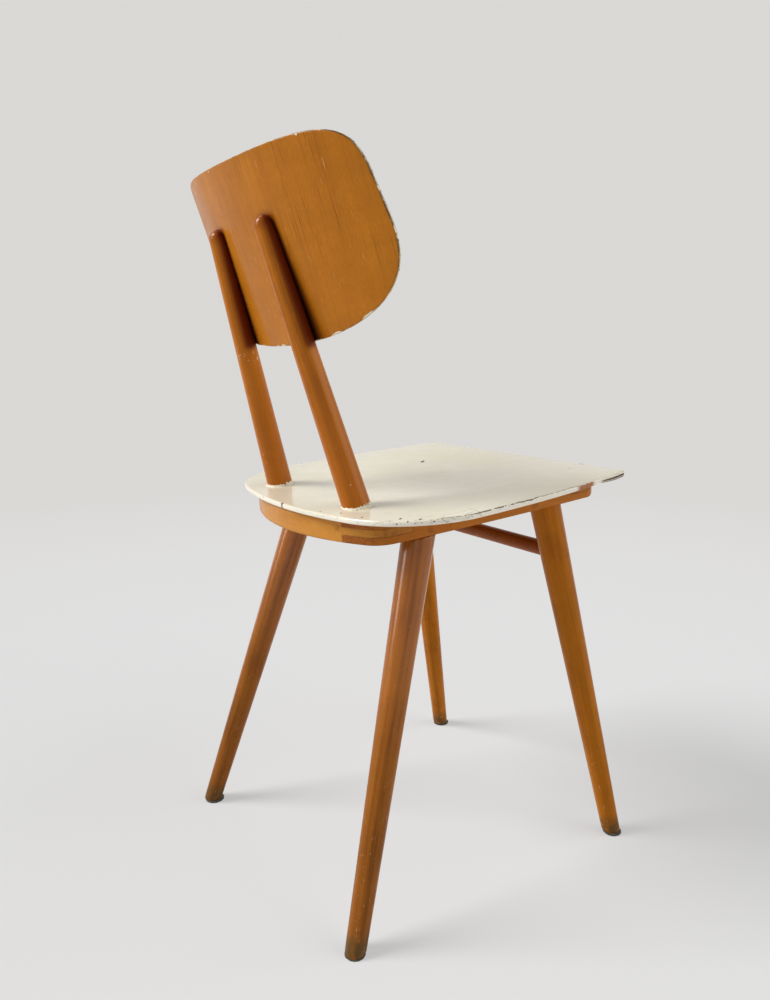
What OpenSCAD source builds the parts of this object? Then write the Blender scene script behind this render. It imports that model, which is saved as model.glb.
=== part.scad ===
// Side chair with a bent plywood seat and backrest on a beech frame.
// The seat frame is bridle jointed, the four turned legs are tenoned into its
// side rails, and two turned posts carry the backrest.
// Millimetres. +Z is up, the sitter faces -Y, and the floor is z = 0.

/* [Seat] */
// Widest part of the seat board
seat_width = 407; // [340:1:480]
// Seat board from its front edge to its back edge
seat_depth = 356; // [300:1:420]
// Height of the seat's top above the floor, at the middle of the chair
seat_height = 451.2; // [380:0.1:540]
// Slope of the seat down towards the back, in degrees
seat_tilt = 4.6; // [0:0.1:8]
// Thickness of the seat board
board_t = 6; // [5:0.5:9]
// Depth of the shallow dish pressed into the seat board
dish_depth = 5; // [2:0.5:8]
// Diameter of the dish
dish_d = 270; // [200:1:300]

/* [Seat frame] */
// Thickness of the rails
rail_t = 25; // [20:1:32]
// Width of a side rail
side_rail_w = 46; // [40:1:56]
// Width of the rear rail at its ends
rear_rail_w = 55; // [40:1:70]
// Width of the front rail
front_rail_w = 50; // [36:1:60]
// Overhang of the seat board past the frame at the sides
side_overhang = 51; // [40:1:60]
// Overhang of the seat board past the frame at the front
front_overhang = 12; // [6:1:30]
// Overhang of the seat board past the frame at the back
rear_overhang = 4; // [2:1:12]

/* [Legs] */
// Leg diameter under the frame
leg_top_d = 36; // [30:0.5:40]
// Leg diameter at the foot
leg_foot_d = 22; // [18:0.5:27]
// Diameter of the tenons on legs
leg_tenon_d = 22; // [18:0.5:26]
// Rear feet: how far each stands out sideways from the top of its leg
rear_splay = 51; // [20:1:70]
// Rear feet: how far each stands behind the top of its leg
rear_rake = 121; // [60:1:150]
// Front feet: how far each stands out sideways from the top of its leg
front_splay = 52; // [20:1:70]
// Front feet: how far each stands in front of the top of its leg
front_rake = 90; // [40:1:110]
// Racked stance: how much further apart the left feet stand than the right ones, each rear foot
rear_rack = 5.5; // [0:0.5:8]
// Racked stance: the same for each front foot
front_rack = 3; // [0:0.5:6]
// Diameter of the stretcher between the front legs
stretcher_d = 18.5; // [14:0.5:22]
// Height of the stretcher's axis above the floor
stretcher_height = 369.5; // [250:0.5:385]
// Depth of the stretcher's bores in the legs
stretcher_bore = 12; // [8:1:16]

/* [Back] */
// Distance between the post axes at the seat
post_spread = 178.4; // [150:0.2:205]
// How far the two posts lean towards each other, each
post_lean = 33; // [15:1:45]
// How far the posts lean back
post_rake = 81.5; // [60:0.5:95]
// Rise of the post axis from the seat to the centre of its domed end
post_rise = 279.5; // [250:0.5:330]
// Post diameter at the seat
post_base_d = 30.5; // [26:0.5:36]
// Post diameter at its domed end
post_top_d = 20.5; // [17:0.5:25]
// Diameter of the tenons on posts
post_tenon_d = 20; // [16:0.5:24]
// Width of the backrest blank before it is bent
back_w = 399; // [320:1:480]
// Height of the backrest blank
back_h = 187; // [155:1:225]
// Thickness of the backrest
back_t = 7; // [5:0.5:9]
// Radius of the backrest's rear face
back_r = 400; // [330:1:470]
// Lean of the backrest from upright, in degrees
back_tilt = 19.2; // [16:0.1:21]
// Height of the backrest's lower edge above the seat, measured at the posts
back_gap = 168; // [140:1:185]

/* [Felt pads] */
// Thickness of the pads
pad_t = 3; // [1.5:0.5:5]
// Thickness of the worn pad under the right rear leg
worn_pad_t = 1.5; // [1:0.5:4]

/* [Hidden] */

// The sitter's left is +X.
LEFT = 1;
RIGHT = -1;
ROUND = 64;

// Seat board outline: edges are shallow arcs joined by corner arcs.
seat_shift = -14.4;
board_rear_y = seat_shift + seat_depth / 2;
board_front_y = seat_shift - seat_depth / 2;
board_side_y = seat_shift + 30.2;
board_side_r = 1010;
board_rear_r = 520;
board_rear_corner_r = 110;
board_front_corner_r = 9;
board_edge_r = 2;
dish_y = seat_shift - 4.8;
dish_r = (pow(dish_d / 2, 2) + pow(dish_depth, 2)) / (2 * dish_depth);

// Frame outline, and the lines where its rails meet.
frame_w = seat_width - 2 * side_overhang;
frame_rear_y = board_rear_y - rear_overhang;
frame_front_y = board_front_y + front_overhang;
frame_widest = 36;
frame_side_y = frame_front_y + frame_widest;
frame_side_r = 3100;
frame_rear_r = 300;
frame_rear_corner_r = 30;
frame_front_corner_r = 20;
frame_narrowing = 9.5;
frame_top = -board_t;
frame_bottom = -board_t - rail_t;
rear_bow = 19;
rear_joint_y = frame_rear_y - rear_bow - rear_rail_w;
front_joint_y = frame_front_y + front_rail_w;
tongue_t = rail_t / 3;

// Legs, posts and backrest outline.
front_leg_side_inset = 23.5;
front_leg_setback = 67;
rear_leg_side_inset = 17.5;
rear_leg_setback = 93;
leg_turn = 45;
tenon_short = 3;
post_setback = 45.7;
post_tenon_depth = 28;
back_bite = 0.8;
grip_rise = 4;
back_lower = -0.234 * back_h;
back_widest = 0.555 * back_h + back_lower;
back_upper_power = 5.5;
back_lower_power = 2.65;
back_narrowing = 0.0008;

// The backrest's own frame: +Z runs up its face, +Y points out of its rear face,
// and its rear face touches the origin. It sits so that its lower edge just bites
// into the fronts of the posts.
grip_share = back_gap / post_rise;
grip_point = post_axis(LEFT, grip_share);
grip_r = post_base_d / 2 + (post_top_d - post_base_d) / 2 * grip_share;
grip_y = sqrt(pow(back_r + grip_r - back_bite, 2) - pow(grip_point[0], 2)) - back_r;
grip_z = back_lower + grip_rise;
back_origin = [
    0,
    grip_point[1] - grip_y * cos(back_tilt) - grip_z * sin(back_tilt),
    grip_point[2] + grip_y * sin(back_tilt) - grip_z * cos(back_tilt)
];

// Backrest screws.
screw_d = 3.5;
screw_head_d = 7.5;
screw_head_h = 2.4;
screw_length = 16;
screw_sink = 0.3;
screw_low = -12;
screw_high = 43;

cream = [0.86, 0.83, 0.75];
lacquered_beech = [0.68, 0.44, 0.2];
dark_beech = [0.6, 0.36, 0.13];
felt_grey = [0.24, 0.25, 0.2];
screw_steel = [0.6, 0.6, 0.58];

// ---- Geometry helpers -------------------------------------------------

// A point given on the tilted seat plane (x, y, height above it), in the chair's frame.
function on_seat(x, y, h) = [
    x,
    y * cos(seat_tilt) + h * sin(seat_tilt),
    seat_height - y * sin(seat_tilt) + h * cos(seat_tilt)
];

function direction(v) = atan2(v[1], v[0]);

function arc(centre, r, from, to, steps) =
    [for (i = [0:steps]) let (a = from + (to - from) * i / steps) centre + r * [cos(a), sin(a)]];

// Where two circles cross, taking the crossing to the left of the line from c1 to c2.
function crossing(c1, r1, c2, r2) =
    let (
        gap = norm(c2 - c1),
        along = (gap * gap + r1 * r1 - r2 * r2) / (2 * gap),
        across = sqrt(r1 * r1 - along * along),
        u = (c2 - c1) / gap
    )
    c1 + along * u + across * [-u[1], u[0]];

// Closed outline of a seat shape: a bowed back, bowed sides and a straight front.
// An inset moves every edge inwards by the same distance.
function seat_outline(width, side_y, side_r, rear_y, rear_r, rear_corner, front_y, front_corner, inset) =
    let (
        rear_c = [0, rear_y - rear_r],
        side_c = [width / 2 - side_r, side_y],
        corner_c = crossing(side_c, side_r - rear_corner, rear_c, rear_r - rear_corner),
        front_c = [
            side_c[0] + sqrt(pow(side_r - front_corner, 2) - pow(front_y + front_corner - side_y, 2)),
            front_y + front_corner
        ],
        rear_a = direction(corner_c - rear_c),
        side_a = direction(corner_c - side_c),
        front_a = direction(front_c - side_c),
        half = concat(
            arc(front_c, front_corner - inset, -90, front_a, 6),
            arc(side_c, side_r - inset, front_a, side_a, 10),
            arc(corner_c, rear_corner - inset, side_a, rear_a, 12),
            arc(rear_c, rear_r - inset, rear_a, 90, 8)
        ),
        distinct = [
            for (i = [0:len(half) - 1])
            if (i == 0 || norm(half[i] - half[max(i - 1, 0)]) > 0.01) half[i]
        ],
        last = len(distinct) - 1
    )
    concat(distinct, [for (i = [last - 1:-1:0]) [-distinct[i][0], distinct[i][1]]]);

function board_outline(inset) = seat_outline(
    seat_width, board_side_y, board_side_r, board_rear_y, board_rear_r,
    board_rear_corner_r, board_front_y, board_front_corner_r, inset
);

function frame_outline() = seat_outline(
    frame_w, frame_side_y, frame_side_r, frame_rear_y, frame_rear_r,
    frame_rear_corner_r, frame_front_y, frame_front_corner_r, 0
);

// Moves the seat plane's own frame to its place in the chair.
module place_on_seat() {
    translate([0, 0, seat_height])
        rotate([-seat_tilt, 0, 0])
            children();
}

// Turns +Z to run from one point to another.
module along(from, to) {
    v = to - from;
    translate(from)
        rotate([0, acos(v[2] / norm(v)), direction(v)])
            children();
}

// A flat slab with rounded edges, from rings of one outline.
module rounded_slab(thickness, edge_r) {
    turns = [0, 30, 60, 90];
    rings = concat(
        [for (a = turns) [edge_r * (1 - sin(a)), -thickness + edge_r * (1 - cos(a))]],
        [for (a = turns) [edge_r * (1 - cos(a)), -edge_r * (1 - sin(a))]]
    );
    n = len(board_outline(0));
    m = len(rings);
    points = [for (r = rings) for (p = board_outline(r[0])) [p[0], p[1], r[1]]];
    sides = [
        for (k = [0:m - 2])
        for (i = [0:n - 1])
        let (a = k * n + i, b = k * n + (i + 1) % n)
        [a, a + n, b + n, b]
    ];
    under = [[for (i = [0:n - 1]) i]];
    upper = [[for (i = [n - 1:-1:0]) (m - 1) * n + i]];
    polyhedron(points = points, faces = concat(under, sides, upper), convexity = 4);
}

// ---- Seat board -------------------------------------------------------

// Spherical cap hanging below the plane z = top: the dish, or its bulge underneath.
module dish_cap(r, top) {
    translate([0, dish_y, 0])
        rotate_extrude($fn = 96)
            intersection() {
                translate([0, dish_r - dish_depth])
                    circle(r = r, $fn = 720);
                translate([0, top - 2 * dish_depth])
                    square([dish_d, 2 * dish_depth]);
            }
}

module seat_board() {
    color(cream)
        difference() {
            place_on_seat()
                difference() {
                    union() {
                        rounded_slab(board_t, board_edge_r);
                        dish_cap(dish_r + board_t, frame_top + 1);
                    }
                    dish_cap(dish_r, 1);
                }
            post_tenon(LEFT);
            post_tenon(RIGHT);
        }
}

// ---- Seat frame -------------------------------------------------------

// Everything above the board's underside, which the frame and the tenons stop at.
module above_frame() {
    place_on_seat() {
        translate([-seat_width, -seat_depth, frame_top])
            cube([2 * seat_width, 2 * seat_depth, 2 * rail_t]);
        dish_cap(dish_r + board_t, frame_top + 1);
    }
}

module frame_plan() {
    polygon(frame_outline());
}

// The part of the plan that one side rail takes, out from its inner edge.
module rail_zone(side) {
    inner_front = frame_w / 2 - side_rail_w;
    inner_rear = inner_front - frame_narrowing;
    reach = seat_width;
    polygon([
        [side * inner_front, -reach],
        [side * inner_front, front_joint_y],
        [side * inner_rear, rear_joint_y],
        [side * inner_rear, reach],
        [side * reach, reach],
        [side * reach, -reach]
    ]);
}

module rail_slab(bottom, height) {
    translate([0, 0, bottom])
        linear_extrude(height)
            children();
}

module behind(y) {
    translate([-seat_width, y])
        square([2 * seat_width, seat_width]);
}

module before(y) {
    translate([-seat_width, y - seat_width])
        square([2 * seat_width, seat_width]);
}

module side_rail(side) {
    difference() {
        place_on_seat()
            difference() {
                rail_slab(frame_bottom, rail_t)
                    intersection() {
                        frame_plan();
                        rail_zone(side);
                    }
                rail_slab(frame_bottom + tongue_t, tongue_t) {
                    behind(rear_joint_y);
                    before(front_joint_y);
                }
            }
        above_frame();
        leg_tenon(side, "front");
        leg_tenon(side, "rear");
        post_tenon(side);
    }
}

// A cross rail fills the frame between the side rails, and its tongues run
// through the forked ends of the side rails to their outer faces.
module cross_rail() {
    place_on_seat() {
        rail_slab(frame_bottom, rail_t)
            difference() {
                intersection() {
                    frame_plan();
                    children();
                }
                rail_zone(LEFT);
                rail_zone(RIGHT);
            }
        rail_slab(frame_bottom + tongue_t, tongue_t)
            intersection() {
                frame_plan();
                children();
            }
    }
}

module side_rail_left() {
    color(lacquered_beech)
        side_rail(LEFT);
}

module side_rail_right() {
    color(lacquered_beech)
        side_rail(RIGHT);
}

module rear_rail() {
    color(lacquered_beech)
        difference() {
            cross_rail()
                behind(rear_joint_y);
            above_frame();
            post_tenon(LEFT);
            post_tenon(RIGHT);
        }
}

module front_rail() {
    color(lacquered_beech)
        difference() {
            cross_rail()
                before(front_joint_y);
            above_frame();
        }
}

// ---- Legs and stretcher -----------------------------------------------

// Where a leg's axis meets the frame's underside.
function leg_top(side, end) = end == "front"
    ? on_seat(side * (frame_w / 2 - front_leg_side_inset), frame_front_y + front_leg_setback, frame_bottom)
    : on_seat(
        side * (frame_w / 2 - frame_narrowing - rear_leg_side_inset),
        frame_rear_y - rear_leg_setback,
        frame_bottom
    );

// Where a leg's axis meets the floor.
function leg_foot(side, end) =
    let (top = leg_top(side, end))
    end == "front"
        ? [top[0] + side * front_splay, top[1] - front_rake - side * front_rack, 0]
        : [top[0] + side * rear_splay, top[1] + rear_rake + side * rear_rack, 0];

// The tenon, which starts inside the leg and ends just short of the board.
module leg_tenon(side, end) {
    top = leg_top(side, end);
    foot = leg_foot(side, end);
    difference() {
        along(foot, top)
            translate([0, 0, norm(top - foot) - 2 * rail_t])
                cylinder(d = leg_tenon_d, h = 4 * rail_t, $fn = ROUND);
        place_on_seat()
            translate([-seat_width, -seat_depth, frame_top - tenon_short])
                cube([2 * seat_width, 2 * seat_depth, 4 * rail_t]);
        above_frame();
    }
}

// The taper is turned about its own axis, so that its seam stays clear of the slanted cuts.
module leg(side, end, pad) {
    top = leg_top(side, end);
    foot = leg_foot(side, end);
    length = norm(top - foot);
    extra = leg_top_d / 2;
    taper = (leg_top_d - leg_foot_d) / 2 / length;
    difference() {
        union() {
            difference() {
                along(foot, top)
                    rotate([0, 0, leg_turn])
                        translate([0, 0, -extra])
                            cylinder(
                                r1 = leg_foot_d / 2 - taper * extra,
                                r2 = leg_top_d / 2 + taper * extra,
                                h = length + 2 * extra,
                                $fn = ROUND
                            );
                place_on_seat()
                    translate([-seat_width, -seat_depth, frame_bottom])
                        cube([2 * seat_width, 2 * seat_depth, 4 * rail_t]);
            }
            leg_tenon(side, end);
        }
        translate([foot[0] - leg_top_d, foot[1] - leg_top_d, pad - 2 * leg_top_d])
            cube(2 * leg_top_d);
        if (end == "front") stretcher();
    }
}

// Where a front leg's axis reaches the stretcher's height.
function stretcher_end(side) =
    let (
        top = leg_top(side, "front"),
        foot = leg_foot(side, "front")
    )
    foot + (top - foot) * stretcher_height / top[2];

// The stretcher's axis crosses the front legs' axes, and its ends stop inside the legs.
module stretcher() {
    left = stretcher_end(LEFT);
    right = stretcher_end(RIGHT);
    rise = stretcher_height / leg_top(LEFT, "front")[2];
    leg_r = leg_foot_d / 2 + (leg_top_d - leg_foot_d) / 2 * rise;
    short = leg_r - stretcher_bore;
    along(right, left)
        translate([0, 0, short])
            cylinder(d = stretcher_d, h = norm(left - right) - 2 * short, $fn = ROUND);
}

module leg_rear_left() {
    color(dark_beech)
        leg(LEFT, "rear", pad_t);
}

module leg_rear_right() {
    color(dark_beech)
        leg(RIGHT, "rear", worn_pad_t);
}

module leg_front_left() {
    color(dark_beech)
        leg(LEFT, "front", pad_t);
}

module leg_front_right() {
    color(dark_beech)
        leg(RIGHT, "front", pad_t);
}

module front_stretcher() {
    color(dark_beech)
        stretcher();
}

// ---- Back posts -------------------------------------------------------

function post_foot(side) = on_seat(side * post_spread / 2, board_rear_y - post_setback, 0);

function post_end(side) = post_foot(side) + [-side * post_lean, post_rake, post_rise];

// A point on a post's axis, at a share of the way from the seat to its domed end.
function post_axis(side, share) = post_foot(side) + share * (post_end(side) - post_foot(side));

module post_tenon(side) {
    along(post_end(side), post_foot(side))
        translate([0, 0, norm(post_end(side) - post_foot(side)) - board_t])
            cylinder(d = post_tenon_d, h = board_t + post_tenon_depth, $fn = ROUND);
}

// Half section of a post: a taper with a domed end, carried on below the seat's top.
module post_profile(length) {
    taper = (post_base_d - post_top_d) / 2 / length;
    below = post_base_d / 2;
    polygon([
        [0, -below],
        [post_base_d / 2 + taper * below, -below],
        [post_top_d / 2, length],
        [0, length]
    ]);
    intersection() {
        translate([0, length])
            circle(d = post_top_d, $fn = ROUND);
        translate([0, length])
            square(post_top_d);
    }
}

module post(side) {
    foot = post_foot(side);
    end = post_end(side);
    difference() {
        union() {
            difference() {
                along(foot, end)
                    rotate_extrude($fn = ROUND)
                        post_profile(norm(end - foot));
                place_on_seat()
                    translate([-seat_width, -seat_depth, -4 * rail_t])
                        cube([2 * seat_width, 2 * seat_depth, 4 * rail_t]);
            }
            post_tenon(side);
        }
        place_back()
            translate([0, -back_r, 2 * back_lower])
                cylinder(r = back_r, h = 3 * back_h, $fn = 4 * ROUND);
        back_screws(side);
    }
}

module back_post_left() {
    color(dark_beech)
        post(LEFT);
}

module back_post_right() {
    color(dark_beech)
        post(RIGHT);
}

// ---- Backrest ---------------------------------------------------------

module place_back() {
    translate(back_origin)
        rotate([-back_tilt, 0, 0])
            children();
}

// Outline of the flat blank: a superellipse quarter above and another below
// the widest line, narrowing upwards.
function blank_point(t) =
    let (
        up = t < 90,
        power = 2 / (up ? back_upper_power : back_lower_power),
        reach = up ? back_lower + back_h - back_widest : back_lower - back_widest,
        s = back_w / 2 * pow(sin(t), power),
        v = back_widest + reach * pow(abs(cos(t)), power)
    )
    [s * (1 - back_narrowing * (v - back_widest)), v];

function blank_outline() =
    let (half = [for (t = [0:3.75:180]) blank_point(t)])
    concat(half, [for (i = [len(half) - 2:-1:1]) [-half[i][0], half[i][1]]]);

// Cuts straight towards the axis of the bend, so that the edges stay square to the faces.
module back_cutter() {
    near = back_r / 2;
    far = back_r + 1;
    translate([0, far - back_r, 0])
        rotate([90, 0, 0])
            linear_extrude(height = far - near, scale = [near / far, 1], slices = 1)
                polygon([for (p = blank_outline()) [far * tan(p[0] / back_r * 180 / PI), p[1]]]);
}

module backrest() {
    color(lacquered_beech)
        difference() {
            place_back()
                intersection() {
                    translate([0, -back_r, 1.5 * back_lower])
                        difference() {
                            cylinder(r = back_r, h = 2 * back_h, $fn = 4 * ROUND);
                            translate([0, 0, -1])
                                cylinder(r = back_r - back_t, h = 2 * back_h + 2, $fn = 4 * ROUND);
                        }
                    back_cutter();
                }
            back_screws(LEFT);
            back_screws(RIGHT);
        }
}

// ---- Backrest screws --------------------------------------------------

// Angle round the bend at which a post's axis passes a height on the backrest.
function post_angle(side, v) =
    let (
        height = back_origin[2] + v * cos(back_tilt),
        share = (height - post_foot(side)[2]) / post_rise
    )
    asin(post_axis(side, share)[0] / back_r);

// A countersunk wood screw driven square through the backrest into a post.
module back_screw(side, v) {
    place_back()
        translate([0, -back_r, v])
            rotate([0, 0, -post_angle(side, v)])
                translate([0, back_r - back_t + screw_sink, 0])
                    rotate([-90, 0, 0]) {
                        cylinder(d1 = screw_head_d, d2 = screw_d, h = screw_head_h, $fn = 32);
                        cylinder(d = screw_d, h = screw_length - screw_d, $fn = 32);
                        translate([0, 0, screw_length - screw_d])
                            cylinder(d1 = screw_d, d2 = 0.6, h = screw_d, $fn = 32);
                    }
}

// Both screws of one post with the sunk openings over their heads.
module back_screws(side) {
    for (v = [screw_low, screw_high]) {
        back_screw(side, v);
        place_back()
            translate([0, -back_r, v])
                rotate([0, 0, -post_angle(side, v)])
                    translate([0, back_r - back_t - 1, 0])
                        rotate([-90, 0, 0])
                            cylinder(d = screw_head_d, h = 1 + screw_sink, $fn = 32);
    }
}

module back_screw_upper_left() {
    color(screw_steel)
        back_screw(LEFT, screw_high);
}

module back_screw_upper_right() {
    color(screw_steel)
        back_screw(RIGHT, screw_high);
}

module back_screw_lower_left() {
    color(screw_steel)
        back_screw(LEFT, screw_low);
}

module back_screw_lower_right() {
    color(screw_steel)
        back_screw(RIGHT, screw_low);
}

// ---- Felt pads --------------------------------------------------------

// A glued disc under a foot; a slipped pad lies off the leg's centre.
module felt_pad(side, end, thickness, d, slip) {
    color(felt_grey)
        translate(leg_foot(side, end) + [slip[0], slip[1], 0])
            cylinder(d = d, h = thickness, $fn = ROUND);
}

module felt_pad_rear_left() {
    felt_pad(LEFT, "rear", pad_t, 25, [-1, -3]);
}

module felt_pad_rear_right() {
    felt_pad(RIGHT, "rear", worn_pad_t, 22, [0, 0]);
}

module felt_pad_front_left() {
    felt_pad(LEFT, "front", pad_t, 24, [0, -1]);
}

module felt_pad_front_right() {
    felt_pad(RIGHT, "front", pad_t, 23, [-1, 0]);
}

seat_board();
side_rail_left();
side_rail_right();
rear_rail();
front_rail();
leg_rear_left();
leg_rear_right();
leg_front_left();
leg_front_right();
front_stretcher();
back_post_left();
back_post_right();
backrest();
back_screw_upper_left();
back_screw_upper_right();
back_screw_lower_left();
back_screw_lower_right();
felt_pad_rear_left();
felt_pad_rear_right();
felt_pad_front_left();
felt_pad_front_right();
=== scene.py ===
from functools import partialmethod
from math import asin, atan2, cos, pi, radians, sin, sqrt

import bmesh
import bpy
import numpy as np
from mathutils import Matrix, Vector


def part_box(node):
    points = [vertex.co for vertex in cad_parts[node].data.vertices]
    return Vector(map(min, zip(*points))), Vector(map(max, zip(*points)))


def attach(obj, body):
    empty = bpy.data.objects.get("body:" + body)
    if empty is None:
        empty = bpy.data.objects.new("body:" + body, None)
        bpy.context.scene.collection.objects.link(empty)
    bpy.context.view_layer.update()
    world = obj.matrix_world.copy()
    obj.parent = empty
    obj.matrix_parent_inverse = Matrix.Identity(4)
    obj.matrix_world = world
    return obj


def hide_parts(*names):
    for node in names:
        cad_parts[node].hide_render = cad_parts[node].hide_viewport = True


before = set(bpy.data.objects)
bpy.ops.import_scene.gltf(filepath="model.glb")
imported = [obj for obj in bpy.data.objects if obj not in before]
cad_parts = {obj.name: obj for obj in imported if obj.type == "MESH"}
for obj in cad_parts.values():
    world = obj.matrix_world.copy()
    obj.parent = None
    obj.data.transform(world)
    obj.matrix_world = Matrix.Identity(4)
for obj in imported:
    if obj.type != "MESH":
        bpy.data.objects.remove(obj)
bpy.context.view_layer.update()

# A worn side chair: bent plywood seat and backrest with peeling cream paint, on a lacquered
# beech frame. Lengths in the shape functions are millimetres; a mesh is written in metres.
MM = 0.001
LEFT = 1
RIGHT = -1
rng = np.random.default_rng(41)

# ---- Sizes of the chair, the same as in the frame

SEAT_WIDTH = 407.0
SEAT_HEIGHT = 451.2
SEAT_TILT = radians(4.6)
BOARD_T = 6.0
BOARD_EDGE_R = 2.0
BOARD_REAR_Y = 163.6
BOARD_FRONT_Y = -192.4
BOARD_SIDE_Y = 15.8
BOARD_SIDE_R = 1010.0
BOARD_REAR_R = 520.0
BOARD_REAR_CORNER_R = 110.0
BOARD_FRONT_CORNER_R = 5.0
DISH_Y = -19.2
DISH_D = 270.0
DISH_DEPTH = 5.0
DISH_R = ((DISH_D / 2) ** 2 + DISH_DEPTH**2) / (2 * DISH_DEPTH)

FRAME_BOTTOM = -31.0
FRONT_OVERHANG = 12.0
LEG_TOPS = {"front": (129.0, -113.4), "rear": (125.5, 66.6)}
LEG_TOP_D = 36.0
LEG_FOOT_D = 22.0
LEG_SPREADS = {"front": (52.0, -90.0, -3.0), "rear": (51.0, 121.0, 5.5)}
PAD_T = 3.0
WORN_PAD_T = 1.5
STRETCHER_D = 18.5
STRETCHER_HEIGHT = 369.5
STRETCHER_BORE = 12.0

POST_SPREAD = 178.4
POST_FOOT_Y = 117.9
POST_LEAN = 33.0
POST_RAKE = 81.5
POST_RISE = 279.5
POST_BASE_D = 30.5
POST_TOP_D = 20.5

BACK_W = 399.0
BACK_H = 187.0
BACK_T = 7.0
BACK_R = 400.0
BACK_TILT = radians(19.2)
BACK_GAP = 168.0
BACK_BITE = 0.8
BACK_GRIP_RISE = 4.0
BACK_LOWER = -0.234 * BACK_H
BACK_WIDEST = 0.555 * BACK_H + BACK_LOWER
BACK_UPPER_POWER = 5.5
BACK_LOWER_POWER = 2.65
BACK_NARROWING = 0.0008
SCREW_HEIGHTS = (-12.0, 43.0)
SCREW_HEAD_D = 7.5

# ---- Sizes of the wear and of the finish

CROWN = 1.2
CROWN_REACH = 34.0
DISH_EASE = 0.35
SPLIT_DROOP = 2.6
FACE_RIM = -1.14
BACK_EDGE_R = 1.2
BACK_FRONT_ROUND = (5.0, 3.4)
POST_SHADOW_WIDTHS = (26.0, 11.0)
TURNED_SIDES = 96
HEAD_RISE = 0.9
SLOT_DEPTH = 0.7
SLOT_WIDTH = 0.95
FRONT_EASE = (5.0, 14.0, 11.0)
EASE_START = -7.0
CUTTER_MARGIN = 20.0
SHARP_ANGLE = radians(32)
COLLAR_REACH = 2.3
CREST_SIDE = (-0.56, -0.83, 0.0)

# ---- Places

SEAT_NORMAL = np.array([0, sin(SEAT_TILT), cos(SEAT_TILT)])


def on_seat(x, y, h):
    """Seat-plane coordinates to the chair's: (x, y cos a + h sin a, height - y sin a + h cos a)."""
    x, y, h = np.broadcast_arrays(*(np.asarray(c, float) for c in (x, y, h)))
    back = y * cos(SEAT_TILT) + h * sin(SEAT_TILT)
    up = SEAT_HEIGHT - y * sin(SEAT_TILT) + h * cos(SEAT_TILT)
    return np.stack([x, back, up], axis=-1)


def xy(points):
    return points[..., 0], points[..., 1]


def smooth(x, low, high):
    """0 below low, 1 above high, and 3t^2 - 2t^3 between them."""
    t = np.clip((x - low) / (high - low), 0, 1)
    return t * t * (3 - 2 * t)


def full_turn(count):
    return np.linspace(0, 2 * pi, count, endpoint=False)


def ripple(turn, waves, size, power=0.8):
    """Random closed wave: the sum over k of size k^-power cos(k turn + phase)."""
    total = np.zeros_like(turn)
    for k in range(1, waves + 1):
        total += size * k**-power * np.cos(k * turn + rng.uniform(0, 2 * pi))
    return total


def post_line(side):
    """A post's foot, the centre of its domed end, the length between them and its direction."""
    foot = on_seat(side * POST_SPREAD / 2, POST_FOOT_Y, 0)
    end = foot + np.array([-side * POST_LEAN, POST_RAKE, POST_RISE])
    length = np.linalg.norm(end - foot)
    return foot, end, length, (end - foot) / length


def post_radius(share):
    return POST_BASE_D / 2 + (POST_TOP_D - POST_BASE_D) / 2 * share


def back_origin():
    """The point of the backrest's rear face from which its heights are counted."""
    share = BACK_GAP / POST_RISE
    foot, end = post_line(LEFT)[:2]
    grip = foot + share * (end - foot)
    y = sqrt((BACK_R + post_radius(share) - BACK_BITE) ** 2 - grip[0] ** 2) - BACK_R
    z = BACK_LOWER + BACK_GRIP_RISE
    back = grip[1] - y * cos(BACK_TILT) - z * sin(BACK_TILT)
    return np.array([0, back, grip[2] + y * sin(BACK_TILT) - z * cos(BACK_TILT)])


BACK_ORIGIN = back_origin()
BACK_OUT = np.array([0, cos(BACK_TILT), -sin(BACK_TILT)])
BACK_UP = np.array([0, sin(BACK_TILT), cos(BACK_TILT)])


def from_origin(x, out, v):
    """The point at x across the backrest, out behind its origin and v up it."""
    return BACK_ORIGIN + x[..., None] * [1, 0, 0] + out[..., None] * BACK_OUT + v[..., None] * BACK_UP


def on_back(s, depth, v):
    """Bent backrest: at angle s/R round the bend, a depth in from its rear face and v up it."""
    angle = s / BACK_R
    return from_origin((BACK_R - depth) * np.sin(angle), (BACK_R - depth) * np.cos(angle) - BACK_R, v)


# ---- Meshes


def put(name, data):
    """A new object of the scene that holds a mesh, a lamp or a camera."""
    piece = bpy.data.objects.new(name, data)
    bpy.context.scene.collection.objects.link(piece)
    return piece


def lay(name, rows, attributes=None, ring=False):
    """A skin over closed rows of points, rows x count x 3 in mm, each row's last point meeting its
    first. Its ends are closed by poles at their rows' means, or a ring joins its last row to its first."""
    rows = np.asarray(rows, float)
    count, around = rows.shape[:2]
    index = np.arange(count * around).reshape(count, around)
    steps = index if ring else index[:-1]
    after = np.roll(index, -1, axis=0) if ring else index[1:]
    corners = [steps, np.roll(steps, -1, axis=1), np.roll(after, -1, axis=1), after]
    faces = np.stack(corners, axis=-1).reshape(-1, 4).tolist()
    if not ring:
        for pole, row in enumerate((index[0, ::-1], index[-1]), count * around):
            faces += np.stack([row, np.roll(row, -1), np.full(around, pole)], axis=-1).tolist()

    def with_poles(values, width):
        flat = values.reshape(-1, width)
        ends = [] if ring else [flat[:around].mean(axis=0), flat[-around:].mean(axis=0)]
        return np.vstack([flat, *ends])

    mesh = bpy.data.meshes.new(name)
    mesh.from_pydata(with_poles(rows, 3) * MM, [], faces)
    mesh.polygons.foreach_set("use_smooth", np.ones(len(mesh.polygons), bool))
    for key, values in (attributes or {}).items():
        width = values.shape[-1] if values.ndim == 3 else 1
        kind, field = ("FLOAT_VECTOR", "vector") if width == 3 else ("FLOAT", "value")
        layer = mesh.attributes.new(key, kind, "POINT")
        layer.data.foreach_set(field, with_poles(values, width).astype(np.float32).ravel())
    mesh.update()
    return put(name, mesh)


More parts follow.
